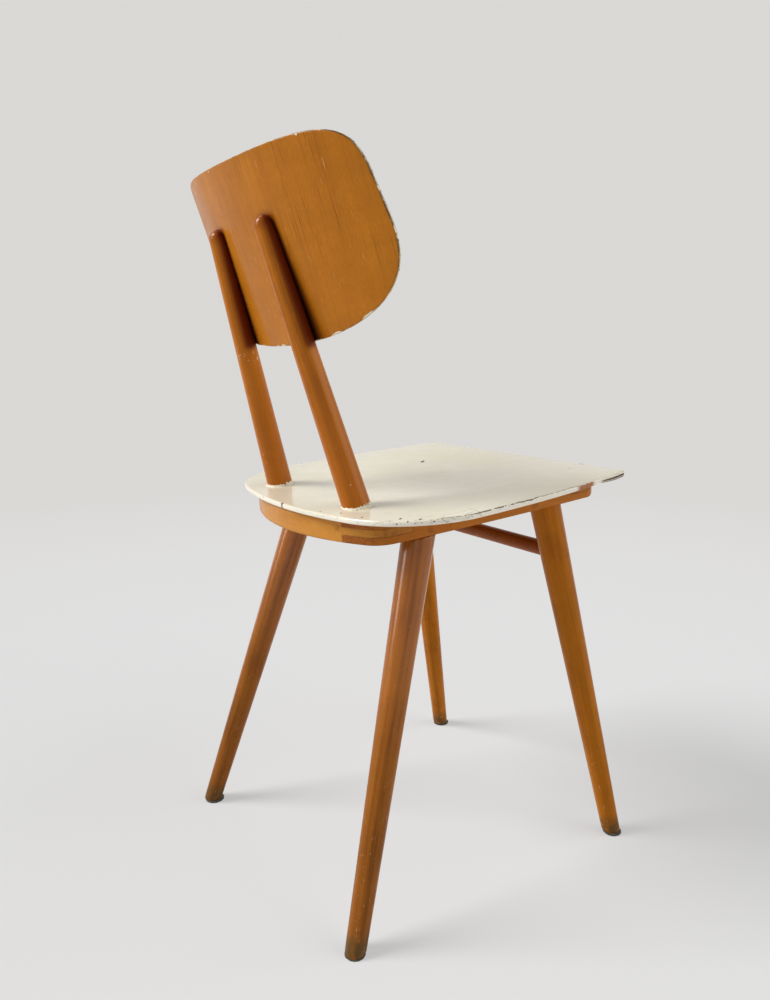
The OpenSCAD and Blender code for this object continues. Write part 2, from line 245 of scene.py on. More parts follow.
def even_loop(points, count):
    """The same closed outline with count points spaced evenly along it."""
    closed = np.vstack([points, points[:1]])
    steps = np.linalg.norm(np.diff(closed, axis=0), axis=1)
    along = np.concatenate([[0], np.cumsum(steps)])
    wanted = np.arange(count) * along[-1] / count
    return np.stack([np.interp(wanted, along, closed[:, k]) for k in (0, 1)], axis=-1)


def outward(loop):
    """Unit normals that point out of a loop that runs anticlockwise."""
    run = np.roll(loop, -1, axis=0) - np.roll(loop, 1, axis=0)
    normal = np.stack([run[:, 1], -run[:, 0]], axis=-1)
    return normal / np.linalg.norm(normal, axis=1, keepdims=True)


def distance_to(loop, points):
    """Distance in the plane from each point to the nearest point of a loop."""
    run = np.roll(loop, -1, axis=0) - loop
    length2 = (run**2).sum(axis=1)
    flat = points.reshape(-1, 2)
    found = np.empty(len(flat))
    batch = 4000
    for start in range(0, len(flat), batch):
        d = flat[start : start + batch, None, :] - loop[None]
        t = np.clip((d * run).sum(axis=2) / length2, 0, 1)
        nearest = ((d - t[..., None] * run) ** 2).sum(axis=2).min(axis=1)
        found[start : start + batch] = np.sqrt(nearest)
    return found.reshape(points.shape[:-1])


# ---- Seat board


def crossing(c1, r1, c2, r2):
    """Where two circles cross, to the left of the line from c1 to c2."""
    gap = np.linalg.norm(c2 - c1)
    along = (gap**2 + r1**2 - r2**2) / (2 * gap)
    u = (c2 - c1) / gap
    return c1 + along * u + sqrt(r1**2 - along**2) * np.array([-u[1], u[0]])


def board_loop(count):
    """The board's outline: arcs for the back, sides and corners, and a straight front."""
    rear_c = np.array([0, BOARD_REAR_Y - BOARD_REAR_R])
    side_c = np.array([SEAT_WIDTH / 2 - BOARD_SIDE_R, BOARD_SIDE_Y])
    corner_c = crossing(
        side_c, BOARD_SIDE_R - BOARD_REAR_CORNER_R, rear_c, BOARD_REAR_R - BOARD_REAR_CORNER_R
    )
    reach = BOARD_SIDE_R - BOARD_FRONT_CORNER_R
    front_y = BOARD_FRONT_Y + BOARD_FRONT_CORNER_R
    front_c = np.array([side_c[0] + sqrt(reach**2 - (front_y - BOARD_SIDE_Y) ** 2), front_y])
    front_turn, side_turn, rear_turn = (
        atan2(v[1], v[0]) for v in (front_c - side_c, corner_c - side_c, corner_c - rear_c)
    )
    arcs = [
        (front_c, BOARD_FRONT_CORNER_R, -pi / 2, front_turn),
        (side_c, BOARD_SIDE_R, front_turn, side_turn),
        (corner_c, BOARD_REAR_CORNER_R, side_turn, rear_turn),
        (rear_c, BOARD_REAR_R, rear_turn, pi / 2),
    ]
    half = []
    for centre, r, a, b in arcs:
        t = np.linspace(a, b, 400)
        half.append(centre + r * np.stack([np.cos(t), np.sin(t)], axis=-1))
    half = np.vstack(half)
    return even_loop(np.vstack([half, half[::-1] * [-1, 1]]), count)


def cap(r, rise):
    """Height of the sphere of the dish, grown by rise, at a distance r from the dish's centre."""
    return DISH_R - DISH_DEPTH - np.sqrt((DISH_R + rise) ** 2 - np.minimum(r, DISH_D) ** 2)


def board_top(x, y, edge_distance):
    """Top of the board: flat, rolled down towards its rim, with the dish's rim eased."""
    dish = cap(np.hypot(x, y - DISH_Y), 0)
    sunk = -DISH_EASE * np.logaddexp(0, -dish / DISH_EASE)
    roll = CROWN * (1 - (1 - np.clip(edge_distance / CROWN_REACH, 0, 1)) ** 2.2)
    return sunk + roll


def make_seat():
    """Rings from the middle of the top out over the rounded edge and back in underneath."""
    around = 640
    loop = board_loop(around)
    normal = outward(loop)
    centre = np.array([0, DISH_Y])
    rim = loop - normal * BOARD_EDGE_R
    shares = np.concatenate([np.linspace(0.004, 0.76, 36)[:-1], np.linspace(0.76, 1, 36)])
    flat = centre + shares[:, None, None] * (rim - centre)
    gone = distance_to(loop, flat)
    top = board_top(*xy(flat), gone)
    rows = [on_seat(*xy(flat), top)]
    rims = [gone]
    rim_top = top[-1]
    worn = 0.12 * np.abs(0.35 * ripple(full_turn(around), 60, 0.25, 0.5))[:, None]

    def edge_ring(inset, h, rim_value):
        edge = loop - normal * inset
        rows.append(on_seat(*xy(edge), h)[None])
        rims.append(np.full((1, around), rim_value))

    for turn in np.linspace(0, pi / 2, 7)[1:]:
        h = rim_top - BOARD_EDGE_R * (1 - cos(turn))
        edge_ring(BOARD_EDGE_R * (1 - sin(turn)) + worn, h, BOARD_EDGE_R - turn * BOARD_EDGE_R)
    plain = BOARD_T - 2 * BOARD_EDGE_R
    droop = SPLIT_DROOP * smooth(-loop[:, 0], 158, 198) * smooth(-loop[:, 1], 138, 176)
    for down in (0.5 * plain, plain):
        h = rim_top * (1 - down / BOARD_T) - BOARD_EDGE_R - down - droop * down / plain
        edge_ring(worn, h, FACE_RIM - down)
    for turn in np.linspace(0, pi / 2, 6)[1:]:
        h = -BOARD_T + BOARD_EDGE_R * (1 - sin(turn)) - droop
        edge_ring(BOARD_EDGE_R * (1 - cos(turn)), h, FACE_RIM - plain - turn * BOARD_EDGE_R)
    shares = np.concatenate([np.linspace(1, 0.8, 14)[1:], np.linspace(0.8, 0.004, 22)[1:]])
    flat = centre + shares[:, None, None] * (rim - centre)
    gone = distance_to(loop, flat)
    bulge = cap(np.hypot(flat[..., 0], flat[..., 1] - DISH_Y), BOARD_T)
    under = np.minimum(-BOARD_T, bulge) - droop * (1 - np.clip(gone / 30, 0, 1)) ** 2
    rows.append(on_seat(*xy(flat), under))
    rims.append(-6.3 - gone)
    return lay("seat_painted_board", np.concatenate(rows), {"rim": np.concatenate(rims)})


# ---- Backrest


def blank_loop(count):
    """Outline of the flat blank: quarter superellipses, (|s|/a)^p + (|v|/b)^p = 1, narrowing up."""
    t = np.linspace(0, pi, 4001)
    up = t < pi / 2
    power = 2 / np.where(up, BACK_UPPER_POWER, BACK_LOWER_POWER)
    reach = np.where(up, BACK_LOWER + BACK_H - BACK_WIDEST, BACK_LOWER - BACK_WIDEST)
    s = BACK_W / 2 * np.sin(t) ** power
    v = BACK_WIDEST + reach * np.abs(np.cos(t)) ** power
    s = s * (1 - BACK_NARROWING * (v - BACK_WIDEST))
    half = np.stack([s, v], axis=-1)
    whole = np.vstack([half, half[::-1] * [-1, 1]])
    return even_loop(whole[::-1], count)


def painted_shade(s, v):
    """Painted shadow of the posts on the backrest's rear face: 1 along each line of contact with a post,
    falling to 0 over a width that grows downwards, where the post stands further out; a third as wide on
    the left of each post."""
    found = np.zeros_like(s)
    for side in (LEFT, RIGHT):
        foot, end = post_line(side)[:2]
        share = (BACK_ORIGIN[2] + v * cos(BACK_TILT) - foot[2]) / POST_RISE
        point = foot + share[..., None] * (end - foot) - BACK_ORIGIN
        out = point @ BACK_OUT + BACK_R
        stand = np.hypot(point[..., 0], out) - BACK_R
        contact = np.sqrt(np.clip(post_radius(share) ** 2 - stand**2, 0, None))
        axis_s = BACK_R * np.arctan2(point[..., 0], out)
        width = np.interp(v, (BACK_LOWER, SCREW_HEIGHTS[1]), POST_SHADOW_WIDTHS)
        away = smooth(axis_s - s - contact, width, -0.1 * width)
        near = smooth(s - axis_s - contact, 0.3 * width, -0.1 * width)
        before_end = smooth(share, 1.06, 1.0)
        found = np.maximum(found, np.where(s < axis_s, away, near) * before_end)
    return found


def make_backrest():
    """Rings over the rear face, round the edge and over the front face."""
    around = 560
    loop = blank_loop(around)
    normal = outward(loop)
    centre = np.array([0, 46.0])
    worn = 0.15 * np.abs(ripple(full_turn(around), 80, 0.2, 0.4))[:, None]
    rows = []
    layers = {"rim": [], "grain": [], "painted_shade": []}

    def row(flat, depth, rim_value):
        depth = np.broadcast_to(depth, flat.shape[:-1])
        rows.append(on_back(flat[..., 0], depth, flat[..., 1]).reshape(-1, around, 3))
        grain = MM * np.stack([flat[..., 0], depth, flat[..., 1]], axis=-1)
        # painted shadow of the posts, kept to the rear face
        painted_shade_share = painted_shade(*xy(flat)) * (rim_value >= 0)
        layers["rim"].append(np.broadcast_to(rim_value, depth.shape).reshape(-1, around))
        layers["grain"].append(grain.reshape(-1, around, 3))
        layers["painted_shade"].append(painted_shade_share.reshape(-1, around))

    shares = np.concatenate([np.linspace(0.004, 0.8, 60)[:-1], np.linspace(0.8, 1, 18)])
    flat = centre + shares[:, None, None] * (loop - normal * BACK_EDGE_R - centre)
    row(flat, 0.0, distance_to(loop, flat))
    for turn in np.linspace(0, pi / 2, 5)[1:]:
        edge = loop - normal * (BACK_EDGE_R * (1 - sin(turn)) + worn)
        row(edge, BACK_EDGE_R * (1 - cos(turn)), BACK_EDGE_R - BACK_EDGE_R * turn)
    deep, wide = BACK_FRONT_ROUND
    for turn in np.linspace(0, pi / 2, 9):
        down = BACK_T - deep * (1 - sin(turn))
        row(loop - normal * (wide * (1 - cos(turn)) + worn * cos(turn)), down, -down)
    shares = np.concatenate([np.linspace(1, 0.8, 10)[1:], np.linspace(0.8, 0.004, 20)[1:]])
    flat = centre + shares[:, None, None] * (loop - wide * normal - centre)
    row(flat, BACK_T, -BACK_T - distance_to(loop, flat))
    layers = {key: np.concatenate(values) for key, values in layers.items()}
    return lay("backrest_shell", np.concatenate(rows), layers)


# ---- Turned pieces


def axes_along(axis):
    """Two unit vectors square to a unit axis and to each other, the first one level."""
    u = np.cross(axis, [0, 0, 1])
    u = u / np.linalg.norm(u)
    return u, np.cross(axis, u)


def spokes(axis, around):
    """The angles of a full turn, and the unit vector square to the axis at each of them."""
    u, v = axes_along(axis)
    turn = full_turn(around)
    return turn, np.cos(turn)[:, None] * u + np.sin(turn)[:, None] * v


def turned_grain(r, turn, along):
    """Coordinates in a turned piece's own wood, whose grain runs along its axis."""
    return MM * np.stack([r * np.cos(turn), r * np.sin(turn), along + 0 * turn], axis=-1)


def spun(start, end, radii, distances, around, low_plane=None, high_plane=None):
    """Surface of revolution about the line from start to end, with radii given at distances along
    it. A plane (point, normal) at either end cuts it: the distances shear to end in the plane."""
    axis = (end - start) / np.linalg.norm(end - start)
    turn, spoke = spokes(axis, around)
    length = distances[-1] - distances[0]
    slope = (radii[-1] - radii[0]) / length
    begin = np.full(around, distances[0])
    finish = np.full(around, distances[-1])
    for plane, which in ((low_plane, begin), (high_plane, finish)):
        if plane is not None:
            point, normal = plane
            r0 = radii[0] - slope * distances[0]
            reach = normal @ (point - start) - r0 * (spoke @ normal)
            which[:] = reach / (normal @ axis + slope * (spoke @ normal))
    share = (distances - distances[0]) / length
    along = begin + share[:, None] * (finish - begin)
    r = np.interp(along, distances, radii)
    r = np.where(along < distances[0], radii[0] + slope * (along - distances[0]), r)
    r = np.where(along > distances[-1], radii[-1] + slope * (along - distances[-1]), r)
    rows = start + along[..., None] * axis + r[..., None] * spoke
    return rows, turned_grain(r, turn, along)


def leg_line(side, end):
    """The middle of a leg's top, in the frame's underside, and of its foot, on the floor."""
    x, y = LEG_TOPS[end]
    top = on_seat(side * x, y, FRAME_BOTTOM)
    out, along, rack = LEG_SPREADS[end]
    return top, np.array([top[0] + side * out, top[1] + along + side * rack, 0])


def wood_shift():
    return rng.uniform(-0.2, 0.2, 3)


def make_leg(side, end, pad, name):
    """A straight taper from the frame's underside to its pad, its foot's rim worn round."""
    top, foot = leg_line(side, end)
    length = np.linalg.norm(top - foot)
    steps = np.linspace(0, 1, 150) ** 1.15
    radii = LEG_FOOT_D / 2 + (LEG_TOP_D - LEG_FOOT_D) / 2 * steps
    floor = (np.array([0, 0, pad]), np.array([0, 0, 1.0]))
    underside = (on_seat(0, 0, FRAME_BOTTOM), SEAT_NORMAL)
    shift = wood_shift()
    rows, grain = spun(foot, top, radii, length * steps, TURNED_SIDES, floor, underside)
    axis = (top - foot) / length
    inward = (foot + np.outer((rows.reshape(-1, 3) - foot) @ axis, axis)).reshape(rows.shape)
    height = rows[..., 2] - pad
    turn = full_turn(TURNED_SIDES)
    wear = 0.9 * np.exp(-height / 1.4) + 0.12 * ripple(turn, 5, 0.5)[None] * smooth(height, 0, 60)
    spoke = rows - inward
    rows = inward + spoke * (1 - wear / np.linalg.norm(spoke, axis=-1))[..., None]
    rows[0, :, 2] = pad
    return lay(name, rows, {"grain": grain + shift})


def make_stretcher():
    """A plain round bar between the front legs, its ends inside them."""
    ends = []
    for side in (RIGHT, LEFT):
        top, foot = leg_line(side, "front")
        ends.append(foot + (top - foot) * STRETCHER_HEIGHT / top[2])
    leg_r = LEG_FOOT_D / 2 + (LEG_TOP_D - LEG_FOOT_D) / 2 * (STRETCHER_HEIGHT / top[2])
    short = leg_r - STRETCHER_BORE
    distances = np.linspace(short, np.linalg.norm(ends[1] - ends[0]) - short, 90)
    rows, grain = spun(*ends, np.full(90, STRETCHER_D / 2), distances, 64)
    return lay("round_stretcher", rows, {"grain": grain + wood_shift()})


def onto_back(rows):
    """Points of a post inside the bend of the backrest are moved out to its rear face."""
    d = rows - BACK_ORIGIN
    x = d[..., 0]
    out = d @ BACK_OUT + BACK_R
    v = d @ BACK_UP
    reach = np.hypot(x, out)
    inside = (reach < BACK_R) & (v > 2 * BACK_LOWER)
    grow = np.where(inside, BACK_R / reach, 1.0)
    return from_origin(x * grow, out * grow - BACK_R, v)


def make_post(side, name):
    """A taper with a domed end: r(d) straight to the dome's centre, then sqrt(r^2 - (d - L)^2)."""
    foot, end, length, axis = post_line(side)
    straight = np.linspace(0, length, 170)
    radii = POST_BASE_D / 2 + (POST_TOP_D - POST_BASE_D) / 2 / length * straight
    shift = wood_shift()
    rows, grain = spun(foot, end, radii, straight, TURNED_SIDES, (on_seat(0, 0, -3), SEAT_NORMAL))
    turn, spoke = spokes(axis, TURNED_SIDES)
    tilt = np.radians(np.linspace(0, 88.5, 22)[1:])[:, None]
    r = POST_TOP_D / 2 * np.cos(tilt)
    up = POST_TOP_D / 2 * np.sin(tilt)
    dome = end + up[..., None] * axis + r[..., None] * spoke
    rows = onto_back(np.concatenate([rows, dome]))
    grain = np.concatenate([grain, turned_grain(r, turn, length + up)]) + shift
    return lay(name, rows, {"grain": grain, "painted_shade": post_flank_shade(rows, foot, axis)})


def post_flank_shade(rows, foot, axis):
    """Painted shade on the side of a post that faces the backrest: 1 there, falling to 0 as it turns
    away; weaker on its left, and reaching further round the left post."""
    behind_it = smooth((rows - BACK_ORIGIN) @ BACK_UP, BACK_LOWER - 5, BACK_LOWER + 6)
    spoke = rows - foot - ((rows - foot) @ axis)[..., None] * axis
    spoke = spoke / np.linalg.norm(spoke, axis=-1, keepdims=True)
    side_share = 1 - 0.6 * smooth(spoke[..., 0], -0.2, 0.4)
    round_to = -1.0 if foot[0] > 0 else -0.75
    return smooth(-spoke @ BACK_OUT, round_to, 0.15) * behind_it * side_share


def make_collar(side, name):
    """Ragged paint collar round a post: its height and foot swell by a closed random wave."""
    foot, _, length, axis = post_line(side)
    around = 200
    turn, spoke = spokes(axis, around)
    slope = (POST_TOP_D - POST_BASE_D) / 2 / length
    gone = distance_to(board_loop(400), np.array([[side * POST_SPREAD / 2, POST_FOOT_Y]]))
    ground = float(board_top(side * POST_SPREAD / 2, POST_FOOT_Y, gone[0]))
    crest = smooth(spoke @ np.array(CREST_SIDE), 0.0, 0.75)
    tall = np.clip(1.7 + 2.0 * crest + (0.35 + crest) * ripple(turn, 30, 0.5, 0.35), 0.9, 5.4)
    wide = np.clip(COLLAR_REACH + ripple(turn, 12, 0.22, 0.5), 1.4, 3.2)

    def on_post(h, off):
        point = on_seat(0, 0, 0) + SEAT_NORMAL * (h + 0 * turn)[:, None]
        d = (point - foot) @ SEAT_NORMAL - POST_BASE_D / 2 * (spoke @ SEAT_NORMAL)
        d = d / (SEAT_NORMAL @ axis + slope * (spoke @ SEAT_NORMAL))
        r = POST_BASE_D / 2 + slope * d
        return foot + d[:, None] * axis + (r + off)[:, None] * spoke

    rows = [on_post(ground - 1.0, -0.8), on_post(ground - 0.6, wide)]
    for share in np.linspace(0, 1, 9):
        rows.append(on_post(ground + 0.1 + tall * share, 0.3 + (wide - 0.3) * (1 - share) ** 1.7))
    rows.append(on_post(ground + 0.12 + tall, -0.6))
    return lay(name, rows[::-1], ring=True)


def make_pad(name, node):
    """A felt disc with a soft ragged rim, in the place of the frame's plain one."""
    low, high = (np.array(c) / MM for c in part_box(node))
    middle = (low + high) / 2
    radius = (high[0] - low[0]) / 2
    tall = high[2] - low[2]
    turn = full_turn(120)
    rough = np.abs(ripple(turn, 30, 0.12, 0.3))
    rows = []
    for out, h in ((0, 0), (0.5, 0), (0.93, 0), (1, 0.2), (1, 0.5), (1, 0.8), (0.94, 1), (0.5, 1), (0, 1)):
        r = np.maximum(out * radius - rough * (out > 0.5), 0.02)
        x, y = middle[0] + r * np.cos(turn), middle[1] + r * np.sin(turn)
        rows.append(np.stack([x, y, h * tall + 0 * turn], axis=-1))
    return lay(name, rows)


def make_screw(name, side, v):
    """A raised slotted head: h = rise (1 - (r/R)^2) over the front face, sunk along its slot."""
    foot, end = post_line(side)[:2]
    share = (BACK_ORIGIN[2] + v * cos(BACK_TILT) - foot[2]) / POST_RISE
    angle = asin((foot + share * (end - foot))[0] / BACK_R)
    out = -sin(angle) * np.array([1, 0, 0]) - cos(angle) * BACK_OUT
    middle = on_back(np.array([angle * BACK_R]), BACK_T, np.array([v]))[0]
    a, b = axes_along(out)
    turn = full_turn(96) + 1e-3
    slot_turn = rng.uniform(0, pi)
    radius = SCREW_HEAD_D / 2
    rows = []
    profile = [(r, HEAD_RISE * (1 - (r / radius) ** 2) + 0.15) for r in np.linspace(0.05, radius, 24)]
    for r, h in profile + [(radius, -0.4), (0.4 * radius, -2.0)]:
        across = r * np.sin(turn - slot_turn)
        sunk = SLOT_DEPTH * (np.abs(across) < SLOT_WIDTH / 2) * (h > 0)
        level = (h - sunk)[:, None] * out
        rows.append(middle + r * np.cos(turn)[:, None] * a + r * np.sin(turn)[:, None] * b + level)
    return lay(name, rows)


# ---- Rails


def rework(mesh, change):
    """Changes a mesh in place with a function of its bmesh."""
    work = bmesh.new()
    work.from_mesh(mesh)
    change(work)
    work.to_mesh(mesh)
    work.free()


def make_cutter():
    """A prism across the seat: its edge slants back down the frame's front face and then turns
    under by a quarter ellipse."""
    slant, reach, rise = FRONT_EASE
    turn = np.linspace(0, pi / 2, 9)
    front = BOARD_FRONT_Y + FRONT_OVERHANG
    y = front + slant + reach * (1 - np.cos(turn))
    h = FRAME_BOTTOM + rise * (1 - np.sin(turn))
    low = FRAME_BOTTOM - CUTTER_MARGIN
    side = [(front - CUTTER_MARGIN, EASE_START), (front, EASE_START), *zip(y, h)]
    side += [(y[-1], low), (front - CUTTER_MARGIN, low)]
    count = len(side)
    ends = [on_seat(x, *np.array(side).T) for x in (-SEAT_WIDTH, SEAT_WIDTH)]
    faces = [tuple(range(count)), tuple(range(2 * count - 1, count - 1, -1))]
    faces += [(k, k + count, (k + 1) % count + count, (k + 1) % count) for k in range(count)]
    block = bpy.data.meshes.new("front_cutter")
    block.from_pydata(np.vstack(ends) * MM, [], faces)
    rework(block, lambda work: bmesh.ops.recalc_face_normals(work, faces=work.faces))
    return put("front_cutter", block)


def make_rail(node, name):
    """A copy of a frame rail less the cutter, so that its lower front corner is rounded."""
    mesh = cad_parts[node].data.copy()
    rework(mesh, lambda work: bmesh.ops.remove_doubles(work, verts=work.verts, dist=1e-6))
    rail = put(name, mesh)
    cutter = make_cutter()
    cut = rail.modifiers.new("front", "BOOLEAN")
    cut.operation = "DIFFERENCE"
    cut.solver = "EXACT"
    cut.object = cutter
    shaped = rail.evaluated_get(bpy.context.evaluated_depsgraph_get())
    made = bpy.data.meshes.new_from_object(shaped)
    rail.modifiers.clear()
    rail.data = made
    bpy.data.objects.remove(cutter)
    rework(made, lambda work: bmesh.ops.triangulate(work, faces=work.faces))
    rework(made, lambda work: bmesh.ops.dissolve_degenerate(work, dist=2e-5, edges=work.edges))
    made.set_sharp_from_angle(angle=SHARP_ANGLE)
    axes = on_seat([1, 0, 0], [0, 1, 0], [0, 0, 1]) - on_seat(0, 0, 0)
    facing = np.array([face.normal for face in made.polygons])
    square = (np.abs(facing @ axes.T) > 0.9995).any(axis=1)
    made.polygons.foreach_set("use_smooth", ~square)
    return rail


# ---- Materials


def colour(red, green, blue):
    """An 8-bit display colour as linear light."""
    c = np.array([red, green, blue]) / 255
    linear = np.where(c <= 0.04045, c / 12.92, ((c + 0.055) / 1.055) ** 2.4)
    return (*linear.tolist(), 1.0)


class Finish:
    """A material and short ways to add nodes to it."""

    def __init__(self, name, owner=None):
        self.owner = owner or bpy.data.materials.new(name)
        self.owner.use_nodes = True
        self.tree = self.owner.node_tree
        self.tree.nodes.clear()

    def node(self, kind, inputs, output=0, **settings):
        node = self.tree.nodes.new("ShaderNode" + kind)
        for key, value in settings.items():
            setattr(node, key, value)
        for key, value in inputs.items():
            if isinstance(value, bpy.types.NodeSocket):
                self.tree.links.new(value, node.inputs[key])
            else:
                node.inputs[key].default_value = value
        return node.outputs[output]

    def place(self):
        return self.node("TexCoord", {}, "Object")

    def layer(self, name, output="Vector"):
        return self.node("Attribute", {}, output, attribute_name=name)

    def stretch(self, vector, scale, turn=(0, 0, 0), move=(0, 0, 0)):
        inputs = {"Vector": vector, "Scale": scale, "Rotation": turn, "Location": move}
        return self.node("Mapping", inputs)

    def noise(self, vector, scale, detail=2.0, rough=0.5, bend=0.0):
        inputs = {"Vector": vector, "Scale": scale, "Detail": detail, "Roughness": rough}
        return self.node("TexNoise", {**inputs, "Distortion": bend})

    def streaks(self, vector, scale, detail, rough, turn=(0, 0, 0)):
        return self.noise(self.stretch(vector, scale, turn), 1.0, detail, rough)

    def warped(self, vector, source, scale, detail, reach):
        """A vector moved about by a coloured noise read at another."""
        inputs = {"Vector": source, "Scale": scale, "Detail": detail}
        swirl = self.node("TexNoise", inputs, "Color")
        swirl = self.node("VectorMath", {0: swirl, "Scale": reach}, operation="SCALE")
        return self.node("VectorMath", {0: vector, 1: swirl}, operation="ADD")

    def cells(self, vector, scale, feature="F1"):
        inputs = {"Vector": vector, "Scale": scale}
        return self.node("TexVoronoi", inputs, "Distance", feature=feature)

    def math(self, operation, a, b=0.0, c=0.0):
        return self.node("Math", {0: a, 1: b, 2: c}, operation=operation)

    times = partialmethod(math, "MULTIPLY")
    scaled = partialmethod(math, "MULTIPLY_ADD")
    plus = partialmethod(math, "ADD")
    less = partialmethod(math, "SUBTRACT")
    most = partialmethod(math, "MAXIMUM")
    size = partialmethod(math, "ABSOLUTE")

    def step(self, value, low, high, start=0.0, end=1.0):
        inputs = {"Value": value, "From Min": low, "From Max": high, "To Min": start, "To Max": end}
        return self.node("MapRange", inputs, interpolation_type="SMOOTHSTEP")

    fall = partialmethod(step, start=1.0, end=0.0)

    def mix(self, share, a, b, blend="MIX"):
        return self.node("Mix", {0: share, 6: a, 7: b}, 2, data_type="RGBA", blend_type=blend)

    def parts(self, vector, axis):
        return self.node("SeparateXYZ", {0: vector}, axis)

    def bump(self, height, strength, distance, normal=None):
        inputs = {"Height": height, "Strength": strength, "Distance": distance}
        if normal is not None:
            inputs["Normal"] = normal
        return self.node("Bump", inputs)

    def coated(self, tone, gloss, normal, **more):
        """The piece's surface; further inputs are named with _ for a space."""
        inputs = {"Base Color": tone, "Roughness": gloss, "Normal": normal}
        inputs.update({key.replace("_", " "): value for key, value in more.items()})
        return self.close("BsdfPrincipled", inputs)

    def close(self, kind, inputs, use="Material"):
        surface = self.node(kind, inputs)
        output = self.tree.nodes.new("ShaderNodeOutput" + use)
        self.tree.links.new(surface, output.inputs["Surface"])
        return self.owner


CREAM = colour(231, 224, 202)
CREAM_OLD = colour(221, 213, 186)
CREAM_DIRTY = colour(190, 176, 144)
BARE_PLY = colour(104, 68, 36)
DARK_PLY = colour(34, 22, 13)
WARM_SHEEN = (1.0, 0.78, 0.5, 1)
WARM_COAT = (1.0, 0.9, 0.74, 1)


def shade(tone, factor, warmth=1.0):
    """A colour made darker or lighter; warmth below 1 takes more from its blue and green."""
    r, g, b, a = tone
    return (r * factor, g * factor * warmth, b * factor * warmth**2, a)


def spots(f, place, marks):
    """0 to 1 mask of ragged ellipses: (x/a)^2 + (y/b)^2 < 1, with noise added to the root."""
    wobble = f.noise(place, 420, 3, 0.6)
    total = None
    for x, y, a, b, turned in marks:
        inputs = {"Location": (x * MM, y * MM, 0), "Rotation": (0, 0, radians(turned))}
        local = f.node("Mapping", {"Vector": place, **inputs}, vector_type="TEXTURE")
        u = f.times(f.parts(local, 0), 1 / (a * MM))
        v = f.times(f.parts(local, 1), 1 / (b * MM))
        r = f.math("SQRT", f.plus(f.times(u, u), f.times(v, v)))
        r = f.plus(r, f.scaled(wobble, 1.8, -0.9))
        mask = f.fall(r, 0.85, 1.05)
        total = mask if total is None else f.most(total, mask)
    return total


# (x, y, half length, half width, turn in degrees) of each mark, in mm
SEAT_MARKS = [
    (70, -86, 5.5, 2.2, -56),
    (0, -64, 1.6, 1.0, -50),
    (-128, -157, 1.5, 1.3, 0),
    (-118, -188, 3.0, 1.2, 0),
    (-165, 115, 2.4, 1.4, 130),
    (-181, 103, 2.2, 1.4, 125),
    (-99, 143, 1.6, 1.1, 150),
    (-5, 162, 2.0, 1.0, 0),
    (-74, 153, 1.4, 1.0, 160),
    (39, 163, 1.6, 1.0, 0),
    (-131, 138, 1.8, 1.1, 140),
]


BACK_MARKS = [
    (-130, 139.5, 1.5, 1.0, 10),
    (26, 141, 1.4, 0.9, 0),
    (90, 139, 5.0, 0.3, 35),
    (84, 136, 4.0, 0.3, 50),
]


def band(f, value, low, high, blur):
    """1 between two levels of a value, with soft ends."""
    return f.times(f.step(value, low - blur, low + blur), f.fall(value, high - blur, high + blur))


